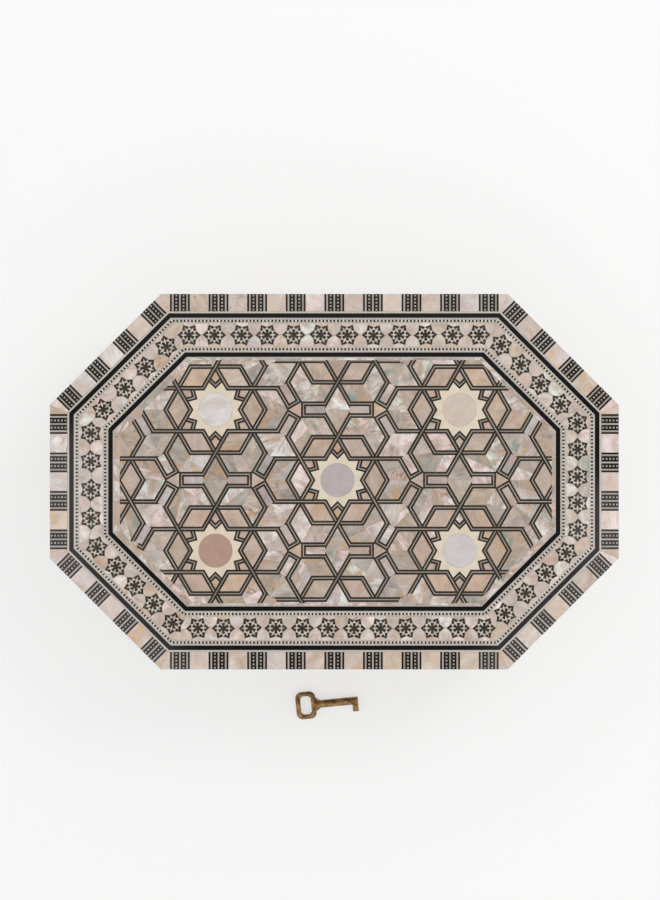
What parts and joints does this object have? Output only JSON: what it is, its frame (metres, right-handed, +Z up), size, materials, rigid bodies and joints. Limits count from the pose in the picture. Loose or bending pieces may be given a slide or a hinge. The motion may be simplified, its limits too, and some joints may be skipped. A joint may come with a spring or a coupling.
{
  "type": "inlaid wooden box",
  "caption": "Octagonal walnut jewellery box with a flush inlay of mother of pearl, bone and ebony, hinged lid, box lock and a hollow barrel key lying beside it.",
  "frame": {"origin": "centre of the octagonal underside, on the surface that the box stands on", "axes": "+X along the length, +Y to the hinged back, +Z up"},
  "size_m": [0.3, 0.2362, 0.096],
  "materials": {
    "walnut": "dark stained walnut under clear lacquer",
    "plain_wood": "plain plywood board",
    "felt": "dark green felt",
    "velvet": "deep red velvet on card",
    "pearl": "mother of pearl, polished under clear lacquer",
    "bone": "bone, polished under clear lacquer",
    "ebony": "ebony, polished under clear lacquer",
    "brass": "satin brass",
    "steel": "bright steel",
    "aged_brass": "aged brass, worn bright on the edges"
  },
  "bodies": {
    "base": {"front_wall": "walnut", "back_wall": "walnut", "left_wall": "walnut", "right_wall": "walnut", "corner_wall_front_left": "walnut", "corner_wall_front_right": "walnut", "corner_wall_back_left": "walnut", "corner_wall_back_right": "walnut", "bottom_panel": "plain_wood", "base_felt": "felt", "wall_lining": "velvet", "floor_pad": "velvet", "base_side_banding": "ebony", "base_side_pearl": "pearl", "base_side_straps": "ebony", "base_side_stars": "bone", "base_side_discs": "pearl", "escutcheon": "brass", "escutcheon_pins": "brass", "lock_case": "brass", "lock_cap": "brass", "drill_pin": "steel", "lock_spring": "steel", "lock_screws": "brass", "hinge_leaf_base": "brass", "hinge_pins": "brass", "hinge_screws_base": "brass"},
    "bolt": {"lock_bolt": "brass"},
    "lid": {"lid_board": "plain_wood", "lid_front_rail": "walnut", "lid_back_rail": "walnut", "lid_left_rail": "walnut", "lid_right_rail": "walnut", "lid_corner_rail_front_left": "walnut", "lid_corner_rail_front_right": "walnut", "lid_corner_rail_back_left": "walnut", "lid_corner_rail_back_right": "walnut", "lid_pad": "velvet", "lid_wall_lining": "velvet", "lid_side_banding": "ebony", "lid_side_pearl": "pearl", "lid_side_rosettes": "ebony", "border_pearl": "pearl", "border_ebony": "ebony", "border_bone": "bone", "bone_lines": "bone", "ebony_bands": "ebony", "dotted_bands": "bone", "rosette_ground": "pearl", "rosettes": "ebony", "strapwork": "ebony", "pearl_chips": "pearl", "bone_stars": "bone", "star_discs": "pearl", "strike_plate": "brass", "strike_screws": "brass", "hinge_leaf_lid": "brass", "hinge_screws_lid": "brass"},
    "key_body": {"key": "aged_brass"}
  },
  "joints": [
    {"name": "lid_hinge", "type": "hinge", "parent": "base", "child": "lid", "pos_m": [0, 0.0962, 0.0662], "axis": [-1, 0, 0], "range_deg": [0, 98]},
    {"name": "bolt_slide", "type": "slide", "parent": "base", "child": "bolt", "axis": [-1, 0, 0], "range_m": [0, 0.0042]},
    {"name": "key_lift", "type": "slide", "parent": "base", "child": "key_body", "axis": [0, 0, 1], "range_m": [0, 0.06]}
  ]
}
